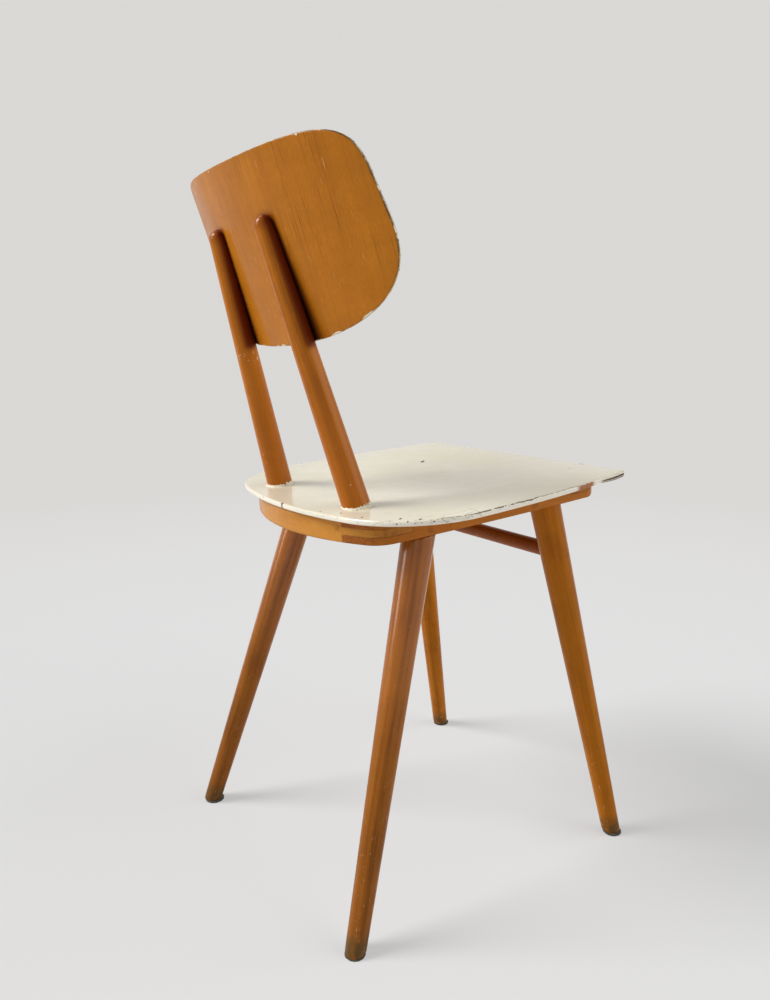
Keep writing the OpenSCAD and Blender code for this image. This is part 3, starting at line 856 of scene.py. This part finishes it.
def seat_paint():
    """Glossy cream paint over ply, chipped along its rim and crazed at the right rear corner, with a
    painted highlight along its edge.
    """
    f = Finish("peeling_cream_paint")
    place = f.place()
    rim = f.layer("rim", "Fac")
    x = f.parts(place, 0)
    y = f.parts(place, 1)
    cloud = f.noise(place, 7, 3, 0.5)
    fine = f.noise(place, 120, 5, 0.65)
    grit = f.noise(place, 900, 3, 0.6)
    paint = f.mix(f.step(cloud, 0.38, 0.66), CREAM, CREAM_OLD)
    paint = f.mix(f.step(fine, 0.6, 0.9, 0.0, 0.3), paint, CREAM_DIRTY)

    # small chips all round the rim, thicker towards the right rear corner
    near_rim = f.fall(f.size(f.plus(rim, 1.0)), 0.5, 4.5)
    on_corner = f.times(f.fall(x, -0.20, -0.10), f.step(y, 0.05, 0.10))
    wear = f.times(near_rim, f.scaled(on_corner, 0.085, 0.14))
    chip_noise = f.noise(place, 300, 5, 0.62, 0.3)
    chipped = f.step(f.plus(chip_noise, wear), 0.79, 0.82)
    nibble = f.step(f.size(f.plus(rim, 2.0)), 0.5, 3.0, 0.15, 0.0)
    nibbled = f.step(f.plus(f.noise(place, 620, 3, 0.6), nibble), 0.80, 0.83)
    chipped = f.most(chipped, nibbled)
    chipped = f.most(chipped, spots(f, place, SEAT_MARKS))

    # the right side edge: a chipped line along its lower half, a bare patch, split plies at the front
    right = f.fall(x, -0.196, -0.186)
    run = f.noise(f.stretch(place, (1, 1, 0.1)), 75, 4, 0.6)
    line = f.times(right, band(f, y, -0.100, 0.100, 0.006))
    thick = f.scaled(band(f, y, -0.030, 0.045, 0.012), 0.45, 0.2)
    off_line = f.size(f.plus(rim, f.scaled(run, 3.4, -2.3)))
    within = f.less(thick, off_line)
    line = f.times(line, f.step(within, -0.25, 0.1))
    line = f.times(line, f.step(f.noise(place, 170, 3, 0.6), 0.40, 0.50))
    patch = f.times(f.fall(x, -0.19, -0.18), band(f, y, -0.126, -0.098, 0.004))
    patch = f.times(patch, f.fall(f.scaled(chip_noise, 6.0, rim), 2.6, 3.4))
    split = f.times(f.fall(x, -0.172, -0.160), f.fall(y, -0.146, -0.138))
    plies = f.math("SINE", f.scaled(rim, 2.6, f.times(run, 3.0)))
    plies = f.times(f.step(plies, -0.2, 0.3), band(f, rim, -7.2, -0.6, 0.4))
    lip = f.times(split, f.fall(f.scaled(run, 2.0, rim), -2.6, -1.6))
    split = f.times(split, plies)
    chipped = f.most(chipped, line)
    chipped = f.most(chipped, split)

    # hairline wrinkles where the paint lifts
    waver = f.warped(place, place, 90, 3.0, 0.011)
    web = f.cells(f.stretch(waver, (1, 0.55, 1), (0, 0, 0.6)), 60, "DISTANCE_TO_EDGE")
    wrinkle = f.fall(web, 0.0, 0.035)
    lifted = f.times(f.fall(x, -0.19, -0.08), f.step(y, 0.0, 0.08))
    lifted = f.times(lifted, f.step(f.noise(place, 30, 2), 0.46, 0.62))
    crazed = f.times(wrinkle, f.times(lifted, f.fall(rim, 18.0, 60.0)))
    bottom = f.fall(rim, -7.2, -6.4)

    # a dark seam where the paint meets each post
    post_rings = None
    for side in (LEFT, RIGHT):
        foot = post_line(side)[0] * MM
        d = f.node("VectorMath", {0: place, 1: tuple(foot)}, "Value", operation="DISTANCE")
        ring = band(f, f.scaled(chip_noise, 0.0016, d), 0.0181, 0.0190, 0.0003)
        post_rings = ring if post_rings is None else f.most(post_rings, ring)
    post_rings = f.times(post_rings, f.step(fine, 0.4, 0.5))

    bare = f.mix(f.step(f.noise(place, 330, 3), 0.4, 0.62), DARK_PLY, BARE_PLY)
    fibre = f.streaks(place, (420, 14, 14), 4, 0.5)
    under = f.mix(fibre, colour(176, 132, 84), colour(206, 168, 120))
    # painted highlight: the board's edge face and its rounding are drawn lighter than its top
    painted_edge_highlight = f.mix(f.step(rim, -1.0, 1.5, 0.6, 0.0), paint, colour(240, 234, 220))
    tone = f.mix(f.times(lip, 0.85), painted_edge_highlight, colour(128, 108, 70))
    tone = f.mix(chipped, tone, bare)
    tone = f.mix(patch, tone, colour(160, 96, 44))
    tone = f.mix(f.times(crazed, 0.55), tone, colour(92, 72, 48))
    tone = f.mix(post_rings, tone, DARK_PLY)
    tone = f.mix(bottom, tone, under)

    rough = f.most(f.most(chipped, patch), bottom)
    gloss = f.step(f.noise(place, 40, 4, 0.6), 0.3, 0.75, 0.14, 0.26)
    gloss = f.scaled(rough, 0.4, gloss)
    height = f.less(1.0, f.most(rough, f.times(crazed, 0.6)))
    normal = f.bump(height, 1.0, 0.00045)
    normal = f.bump(f.noise(place, 20, 3, 0.5), 1.0, 0.0008, normal)
    normal = f.bump(grit, 0.25, 0.00005, normal)
    coat = f.scaled(rough, -0.35, 0.35)
    return f.coated(tone, gloss, normal, Coat_Weight=coat, Coat_Roughness=0.1)


def wood_tone(f, grain, mid, spread, rings=0.18, ring_scale=40):
    """Streaked and faintly ringed colour of a piece whose grain runs along +Z, and its fibre height."""
    warped = f.warped(grain, f.stretch(grain, (14, 14, 3)), 1.0, 2.0, 0.012)
    inputs = {"Vector": f.stretch(warped, (1, 1, 0.06)), "Scale": ring_scale, "Distortion": 3.0}
    inputs.update({"Detail": 3.0, "Detail Scale": 1.2})
    ring = f.node("TexWave", inputs, 1, wave_type="RINGS", rings_direction="Z")
    fibre = f.streaks(warped, (520, 520, 7), 5, 0.7)
    broad = f.streaks(warped, (45, 45, 4), 3, 0.6)
    patchy = f.noise(grain, 16, 3, 0.6)
    share = f.scaled(fibre, 0.95, -0.475)
    share = f.scaled(f.plus(ring, -0.5), rings, share)
    share = f.scaled(f.plus(broad, -0.5), 0.8, share)
    share = f.scaled(f.plus(patchy, -0.5), 0.7, share)
    tone = f.mix(f.step(share, -0.34, 0.05), shade(mid, 1 - spread, 0.94), mid)
    tone = f.mix(f.step(share, 0.02, 0.4), tone, shade(mid, 1 + 0.9 * spread, 1.04))
    fleck = f.streaks(grain, (1900, 1900, 210), 2, 0.5)
    tone = f.mix(f.step(fleck, 0.62, 0.72, 0.0, 0.35), tone, shade(mid, 0.55, 0.9))
    return tone, fibre


def lacquer(f, tone, gloss, normal, coat, coat_gloss):
    """Tinted clear lacquer over a wood colour."""
    return f.coated(
        tone,
        gloss,
        normal,
        Specular_IOR_Level=0.12,
        Specular_Tint=WARM_SHEEN,
        Coat_Weight=coat,
        Coat_Roughness=coat_gloss,
        Coat_Tint=WARM_COAT,
    )


def leg_wood(name, mid, low_mid, coat):
    """Lacquered beech with scuffs and pale scratches that thicken towards the floor, and dirty feet."""
    f = Finish(name)
    grain = f.layer("grain")
    place = f.place()
    tone, fibre = wood_tone(f, grain, mid, 0.32)
    z = f.parts(place, 2)
    tone = f.mix(f.fall(z, 0.05, 0.36), tone, f.mix(1.0, tone, low_mid, "MULTIPLY"))
    low = f.fall(z, 0.02, 0.30)
    scratch = f.streaks(place, (700, 700, 60), 2, 0.5, (0.5, 0.25, 0))
    scratch = f.times(f.step(scratch, 0.69, 0.73), f.scaled(low, 0.5, 0.08))
    speck = f.noise(place, 420, 3, 0.6)
    speck = f.times(f.step(speck, 0.68, 0.72), f.scaled(low, 0.4, 0.25))
    scuff = f.noise(place, 60, 6, 0.75)
    scuff = f.times(f.step(scuff, 0.56, 0.72), f.scaled(low, 0.15, 0.05))
    tone = f.mix(scuff, tone, colour(172, 124, 76))
    tone = f.mix(f.most(scratch, speck), tone, colour(212, 172, 126))
    bruise = f.step(f.noise(f.stretch(place, (1, 1, 0.5)), 48, 3, 0.6), 0.68, 0.76, 0.0, 0.4)
    tone = f.mix(bruise, tone, shade(mid, 0.45, 0.8))
    dirt = f.noise(place, 150, 5, 0.7)
    dirt = f.times(f.step(dirt, 0.3, 0.55), f.step(z, 0.010, 0.034, 0.8, 0.0))
    tone = f.mix(dirt, tone, colour(74, 62, 36))
    gloss = f.scaled(scuff, 0.5, f.step(f.noise(place, 30, 4), 0.3, 0.7, 0.26, 0.38))
    normal = f.bump(fibre, 0.3, 0.0002)
    normal = f.bump(f.less(1.0, scratch), 0.5, 0.0002, normal)
    coat = f.step(z, 0.16, 0.36, 0.12, coat)
    coat = f.times(coat, f.scaled(scuff, -0.8, 1.0))
    return lacquer(f, tone, gloss, normal, coat, 0.15)


def post_wood(name, mid):
    """Lacquered beech, darker at its domed end, with a few pale knocks low down."""
    f = Finish(name)
    grain = f.layer("grain")
    place = f.place()
    tone, fibre = wood_tone(f, grain, mid, 0.28)
    z = f.parts(place, 2)
    tone = f.mix(f.step(z, 0.712, 0.727, 0.0, 0.6), tone, shade(mid, 0.4, 0.55))
    tone = f.mix(f.step(z, 0.50, 0.62, 0.5, 0.0), tone, shade(mid, 0.7, 0.8))
    knock = f.noise(f.stretch(place, (1, 1, 0.5)), 240, 3, 0.6)
    knock = f.times(f.step(knock, 0.70, 0.73), f.step(z, 0.46, 0.56, 0.9, 0.15))
    tone = f.mix(knock, tone, colour(214, 170, 112))
    left_post = f.step(f.parts(place, 0), 0.0, 0.01)
    mist = f.noise(f.stretch(place, (1, 1, 0.4)), 420, 3, 0.6)
    mist = f.times(f.step(mist, 0.62, 0.68, 0.0, 0.7), band(f, z, 0.590, 0.608, 0.004))
    tone = f.mix(f.times(mist, left_post), tone, CREAM)
    line = f.streaks(place, (760, 760, 30), 2, 0.5, (0.1, 0.3, 0))
    tone = f.mix(f.step(line, 0.68, 0.72, 0.0, 0.25), tone, shade(mid, 0.5, 0.7))
    # painted shade on the side of the post that faces the backrest, with less coat there
    painted_shade_share = f.layer("painted_shade", "Fac")
    tone = f.mix(f.step(painted_shade_share, 0.0, 0.9, 0.0, 0.9), tone, colour(92, 16, 3))
    gloss = f.step(f.noise(place, 30, 4), 0.3, 0.7, 0.22, 0.34)
    coat = f.step(painted_shade_share, 0.0, 0.5, 0.26, 0.05)
    return lacquer(f, tone, gloss, f.bump(fibre, 0.25, 0.00015), coat, 0.13)


def rail_wood(name, turn, mid):
    """Clear-lacquered beech rail; its end grain is darker and redder, and its edges are rubbed."""
    f = Finish(name)
    place = f.place()
    grain = f.stretch(place, (1, 1, 1), turn, (0.07, 0.31, 0.13))
    tone, fibre = wood_tone(f, grain, mid, 0.16, 0.10, 14)
    flat = f.node("NewGeometry", {}, "True Normal")
    facing = f.parts(f.stretch(flat, (1, 1, 1), turn), 2)
    end = f.step(f.size(facing), 0.55, 0.8)
    pores = f.streaks(grain, (600, 600, 600), 3, 0.6)
    end_tone = f.mix(f.step(pores, 0.4, 0.65), colour(92, 38, 14), colour(168, 98, 46))
    end_share = f.times(end, f.step(f.noise(place, 55, 4, 0.6), 0.32, 0.6, 0.15, 0.6))
    tone = f.mix(end_share, tone, end_tone)
    soft = f.node("Bevel", {"Radius": 0.0024}, samples=6)
    corner = f.node("VectorMath", {0: soft, 1: flat}, "Value", operation="DOT_PRODUCT")
    rubbed = f.fall(corner, 0.86, 0.98)
    rubbed = f.times(rubbed, f.step(f.noise(place, 90, 4), 0.42, 0.6, 0.0, 0.3))
    tone = f.mix(rubbed, tone, shade(mid, 0.5, 0.8))
    scratch = f.streaks(place, (60, 900, 900), 2, 0.5, (0.3, 0.2, 0.4))
    tone = f.mix(f.step(scratch, 0.7, 0.75, 0.0, 0.3), tone, shade(mid, 1.5, 1.1))
    stain = f.step(f.noise(place, 44, 3, 0.6), 0.62, 0.72, 0.0, 0.35)
    tone = f.mix(stain, tone, colour(120, 54, 22))
    normal = f.bump(fibre, 0.25, 0.00015, soft)
    gloss = f.step(f.noise(place, 34, 4), 0.3, 0.7, 0.28, 0.42)
    return lacquer(f, tone, gloss, normal, 0.12, 0.16)


def veneer():
    """Rear of the backrest: lacquered veneer, grain upwards; its edge and front are painted cream."""
    f = Finish("veneer_with_cream_edge")
    grain = f.layer("grain")
    place = f.place()
    rim = f.layer("rim", "Fac")
    s = f.parts(grain, 0)
    v = f.parts(grain, 2)
    mid = colour(184, 113, 24)
    tone, fibre = wood_tone(f, grain, mid, 0.18, 0.06, 9)
    figure = f.streaks(grain, (14, 14, 60), 3, 0.6, (0, 0.12, 0))
    tone = f.mix(f.step(figure, 0.35, 0.65, 0.0, 0.22), tone, shade(mid, 0.72, 0.94))
    grit = f.streaks(grain, (1500, 1500, 160), 2, 0.5)
    tone = f.mix(f.step(grit, 0.42, 0.62, 0.0, 0.3), tone, shade(mid, 0.62, 0.9))
    pore = f.streaks(grain, (820, 820, 9), 2, 0.6)
    cluster = f.step(f.noise(f.stretch(grain, (1, 1, 0.35)), 26, 2, 0.5), 0.40, 0.62)
    upper = f.times(f.step(v, -0.02, 0.10, 0.3, 1.0), cluster)
    pore = f.times(f.step(pore, 0.58, 0.66), upper)
    tone = f.mix(f.times(pore, 0.75), tone, colour(92, 44, 6))
    scratch = f.streaks(grain, (800, 800, 70), 2, 0.5, (0, 0.35, 0))
    scratch = f.times(f.step(scratch, 0.68, 0.73), f.step(f.noise(grain, 22, 2), 0.44, 0.6, 0.1, 0.7))
    tone = f.mix(scratch, tone, colour(226, 184, 130))
    # painted shadow of each post on the veneer beside it: brown across the shadow, near black along the
    # line of contact
    painted_shade_share = f.layer("painted_shade", "Fac")
    tone = f.mix(f.step(painted_shade_share, 0.0, 0.75, 0.0, 0.75), tone, colour(118, 50, 6))
    tone = f.mix(f.step(painted_shade_share, 0.42, 0.95, 0.0, 0.96), tone, colour(30, 6, 2))

    # paint run over from the edge, most along the lower edge
    ragged = f.noise(grain, 300, 4, 0.65)
    spill = f.scaled(ragged, 2.0, -0.75)
    lower = f.times(f.fall(v, -0.03, 0.0), f.step(f.noise(grain, 50, 3), 0.42, 0.62))
    spill = f.scaled(lower, 1.9, spill)
    painted = f.fall(f.less(rim, spill), -0.2, 0.2)
    painted = f.most(painted, f.fall(rim, -0.5, -0.3))
    speck = f.cells(grain, 120)
    speck = f.times(f.fall(speck, 0.05, 0.08), f.step(f.noise(grain, 20, 2), 0.62, 0.68))
    painted = f.most(painted, f.times(speck, f.fall(rim, 10, 24)))

    # white nicks at the top edge and a pale crack at the upper left corner
    face = f.node("CombineXYZ", {0: s, 1: v})
    painted = f.most(painted, spots(f, face, BACK_MARKS))

    # a dark chipped line where paint and veneer meet, heavier down the right side
    heavy = f.times(f.fall(s, -0.17, -0.09), f.step(v, -0.02, 0.04, 0.25, 1.0))
    heavy = f.most(heavy, 0.4)
    uneven = f.noise(grain, 90, 4, 0.6)
    seam = f.size(f.plus(rim, f.scaled(uneven, 2.4, -0.7)))
    seam = f.fall(seam, 0.9, 1.7)
    seam = f.times(seam, f.step(f.noise(grain, 60, 5, 0.65), 0.36, 0.5))
    seam = f.times(seam, heavy)
    wear = f.step(f.size(f.plus(rim, 3.0)), 1.0, 4.5, 0.2, 0.0)
    chip = f.step(f.plus(f.noise(grain, 300, 4, 0.65), wear), 0.76, 0.79)
    chip = f.most(f.times(chip, painted), f.times(seam, 0.85))
    cream = f.mix(f.step(f.noise(place, 12, 4), 0.35, 0.7), CREAM, CREAM_OLD)
    tone = f.mix(painted, tone, cream)
    tone = f.mix(chip, tone, f.mix(f.noise(place, 300, 2), DARK_PLY, BARE_PLY))
    height = f.less(painted, chip)
    normal = f.bump(fibre, 0.25, 0.00015)
    normal = f.bump(height, 1.0, 0.0003, normal)
    gloss = f.step(f.noise(place, 26, 4), 0.3, 0.7, 0.26, 0.36)
    return lacquer(f, tone, gloss, normal, 0.16, 0.12)


def collar_paint():
    """Thick brushed cream paint with hairline cracks."""
    f = Finish("collar_cream_paint")
    place = f.place()
    lump = f.noise(place, 500, 4, 0.6)
    tone = f.mix(f.step(lump, 0.45, 0.7), CREAM, colour(190, 174, 140))
    dirt = f.step(f.noise(place, 240, 4, 0.7), 0.58, 0.7, 0.0, 0.7)
    tone = f.mix(dirt, tone, colour(104, 74, 44))
    return f.coated(tone, f.step(lump, 0.3, 0.7, 0.3, 0.55), f.bump(lump, 0.8, 0.0005))


def felt():
    """Matted dark felt."""
    f = Finish("matted_felt")
    place = f.place()
    fluff = f.noise(place, 1400, 5, 0.8)
    tone = f.mix(fluff, colour(34, 36, 26), colour(78, 80, 60))
    tone = f.mix(f.step(f.noise(place, 160, 3), 0.5, 0.7, 0.0, 0.5), tone, colour(104, 96, 70))
    gloss = f.step(fluff, 0.2, 0.8, 0.85, 1.0)
    return f.coated(tone, gloss, f.bump(fluff, 1.0, 0.0012), Sheen_Weight=0.3)


def steel():
    """Dull zinc-plated screw."""
    f = Finish("dull_screw_steel")
    place = f.place()
    stain = f.noise(place, 700, 4, 0.7)
    tone = f.mix(f.step(stain, 0.45, 0.7), colour(168, 168, 160), colour(112, 92, 70))
    gloss = f.step(stain, 0.3, 0.7, 0.3, 0.6)
    normal = f.bump(f.noise(place, 2500, 2), 0.3, 0.0001)
    return f.coated(tone, gloss, normal, Metallic=f.step(stain, 0.5, 0.75, 1.0, 0.4))


# ---- Assembly


def finish_piece(piece, material, slot, *nodes):
    piece.data.materials.clear()
    piece.data.materials.append(material)
    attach(piece, "root")
    if nodes:
        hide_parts(*nodes)


seat = make_seat()
finish_piece(seat, seat_paint(), "cream_paint", "seat_board")
backrest = make_backrest()
finish_piece(backrest, veneer(), "veneer", "backrest")

DARKER = (0.74, 0.72, 0.7, 1)
leg_beech = {
    "rear": leg_wood("rear_leg_beech", colour(154, 91, 24), DARKER, 0.8),
    "front": leg_wood("front_leg_beech", colour(170, 99, 1), (0.95, 0.95, 0.9, 1), 0.14),
}
# painted shade: the stretcher's beech is drawn darker than the legs' for the shade it stands in under the
# seat
shaded_stretcher_beech = leg_wood("shaded_stretcher_beech", colour(134, 66, 10), DARKER, 0.14)
post_beech = post_wood("post_beech", colour(182, 106, 10))
SIDES = ((LEFT, "left"), (RIGHT, "right"))
for side, word in SIDES:
    for end in ("front", "rear"):
        pad = WORN_PAD_T if (side, end) == (RIGHT, "rear") else PAD_T
        leg = make_leg(side, end, pad, f"turned_leg_{end}_{word}")
        finish_piece(leg, leg_beech[end], "honey_beech", f"leg_{end}_{word}")
        pad_piece = make_pad(f"felt_disc_{end}_{word}", f"felt_pad_{end}_{word}")
        finish_piece(pad_piece, felt(), "felt", f"felt_pad_{end}_{word}")
    post = make_post(side, f"back_post_turned_{word}")
    finish_piece(post, post_beech, "honey_beech", f"back_post_{word}")
    finish_piece(make_collar(side, f"paint_collar_{word}"), collar_paint(), "cream_paint")
finish_piece(make_stretcher(), shaded_stretcher_beech, "honey_beech", "front_stretcher")

ALONG_Y = (pi / 2 - SEAT_TILT, 0, 0)
ALONG_X = (0, -pi / 2, 0)
side_wood = rail_wood("side_rail_beech", ALONG_Y, colour(180, 108, 34))
cross_wood = rail_wood("cross_rail_beech", ALONG_X, colour(192, 130, 52))
finish_piece(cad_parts["rear_rail"], cross_wood, "clear_beech")
for node, name, wood in (
    ("side_rail_left", "eased_side_rail_left", side_wood),
    ("side_rail_right", "eased_side_rail_right", side_wood),
    ("front_rail", "eased_front_rail", cross_wood),
):
    finish_piece(make_rail(node, name), wood, "clear_beech", node)
screw_finish = steel()
for v, level in zip(SCREW_HEIGHTS, ("lower", "upper")):
    for side, word in SIDES:
        screw = make_screw(f"slotted_screw_{level}_{word}", side, v)
        finish_piece(screw, screw_finish, "screw_steel", f"back_screw_{level}_{word}")

# ---- Floor, light and camera

PALE = 0.70
FLOOR_PALE = 0.735
WALL = (1.005, 0.985, 0.96, 1)
AMBIENT = 0.20
FLOOR_FADE = (0.5, 3.0)
LAMPS = {
    # name: (level direction to the lamp, elevation, strength, apparent width) in degrees
    "window_light": ((0.50, 0.86), 40, 3.0, 28),
    "window_low": ((0.42, 0.91), 13, 0.42, 19),
    "room_fill": ((-0.72, -0.69), 28, 1.4, 60),
}
CAMERA_PLACE = (-0.7799, 0.5468, 0.5993)
CAMERA_YAW, CAMERA_PITCH, CAMERA_ROLL = -0.5927, 0.1840, -0.0031


def make_floor():
    """A pale square that fades with distance to the wall's colour, its shadows made faint."""
    mesh = bpy.data.meshes.new("studio_floor")
    half = 30.0
    corners = [(-half, -half, 0), (half, -half, 0), (half, half, 0), (-half, half, 0)]
    mesh.from_pydata(corners, [], [(0, 1, 2, 3)])
    f = Finish("pale_floor")
    near = (FLOOR_PALE, FLOOR_PALE, FLOOR_PALE, 1)
    lit = f.node("BsdfDiffuse", {"Color": near})
    far = f.node("VectorMath", {0: f.place()}, "Value", operation="LENGTH")
    away = f.step(far, *FLOOR_FADE)
    plain = f.node("Emission", {"Color": f.mix(away, near, shade(WALL, PALE))})
    seen = f.node("LightPath", {}, "Is Camera Ray")
    share = f.times(seen, f.scaled(away, 0.45, 0.55))
    mesh.materials.append(f.close("MixShader", {0: share, 1: lit, 2: plain}))
    floor = put("studio_floor", mesh)


def make_world():
    """The camera and glossy rays see a plain pale grey; everything else gets the ambient light."""
    world = bpy.data.worlds.new("studio_world")
    bpy.context.scene.world = world
    f = Finish("studio_world", world)
    rays = (f.node("LightPath", {}, kind) for kind in ("Is Camera Ray", "Is Glossy Ray"))
    inputs = {"Value": f.most(*rays), "To Min": AMBIENT, "To Max": PALE}
    level = f.node("MapRange", inputs)
    f.close("Background", {"Color": WALL, "Strength": level}, "World")


def make_lamps():
    for name, (level, elevation, strength, width) in LAMPS.items():
        light = bpy.data.lights.new(name, "SUN")
        light.energy = strength
        light.angle = radians(width)
        up = radians(elevation)
        x, y = np.array(level) / np.hypot(*level) * cos(up)
        lamp = put(name, light)
        lamp.rotation_mode = "QUATERNION"
        lamp.rotation_quaternion = Vector((x, y, sin(up))).to_track_quat("Z", "Y")


def make_camera():
    """Stands behind the chair on its right, a little above the seat, and looks slightly down."""
    camera = bpy.data.cameras.new("camera")
    camera.lens = 28.45
    camera.sensor_width = 36
    camera.shift_x = -0.0005
    camera.shift_y = 0.0015
    stand = put("camera", camera)
    turn = Matrix.Rotation(CAMERA_YAW - pi / 2, 4, "Z")
    turn = turn @ Matrix.Rotation(pi / 2 - CAMERA_PITCH, 4, "X")
    turn = turn @ Matrix.Rotation(CAMERA_ROLL, 4, "Z")
    stand.matrix_world = Matrix.Translation(CAMERA_PLACE) @ turn
    bpy.context.scene.camera = stand


make_floor()
make_world()
make_lamps()
make_camera()
bpy.context.scene.view_settings.view_transform = "Standard"
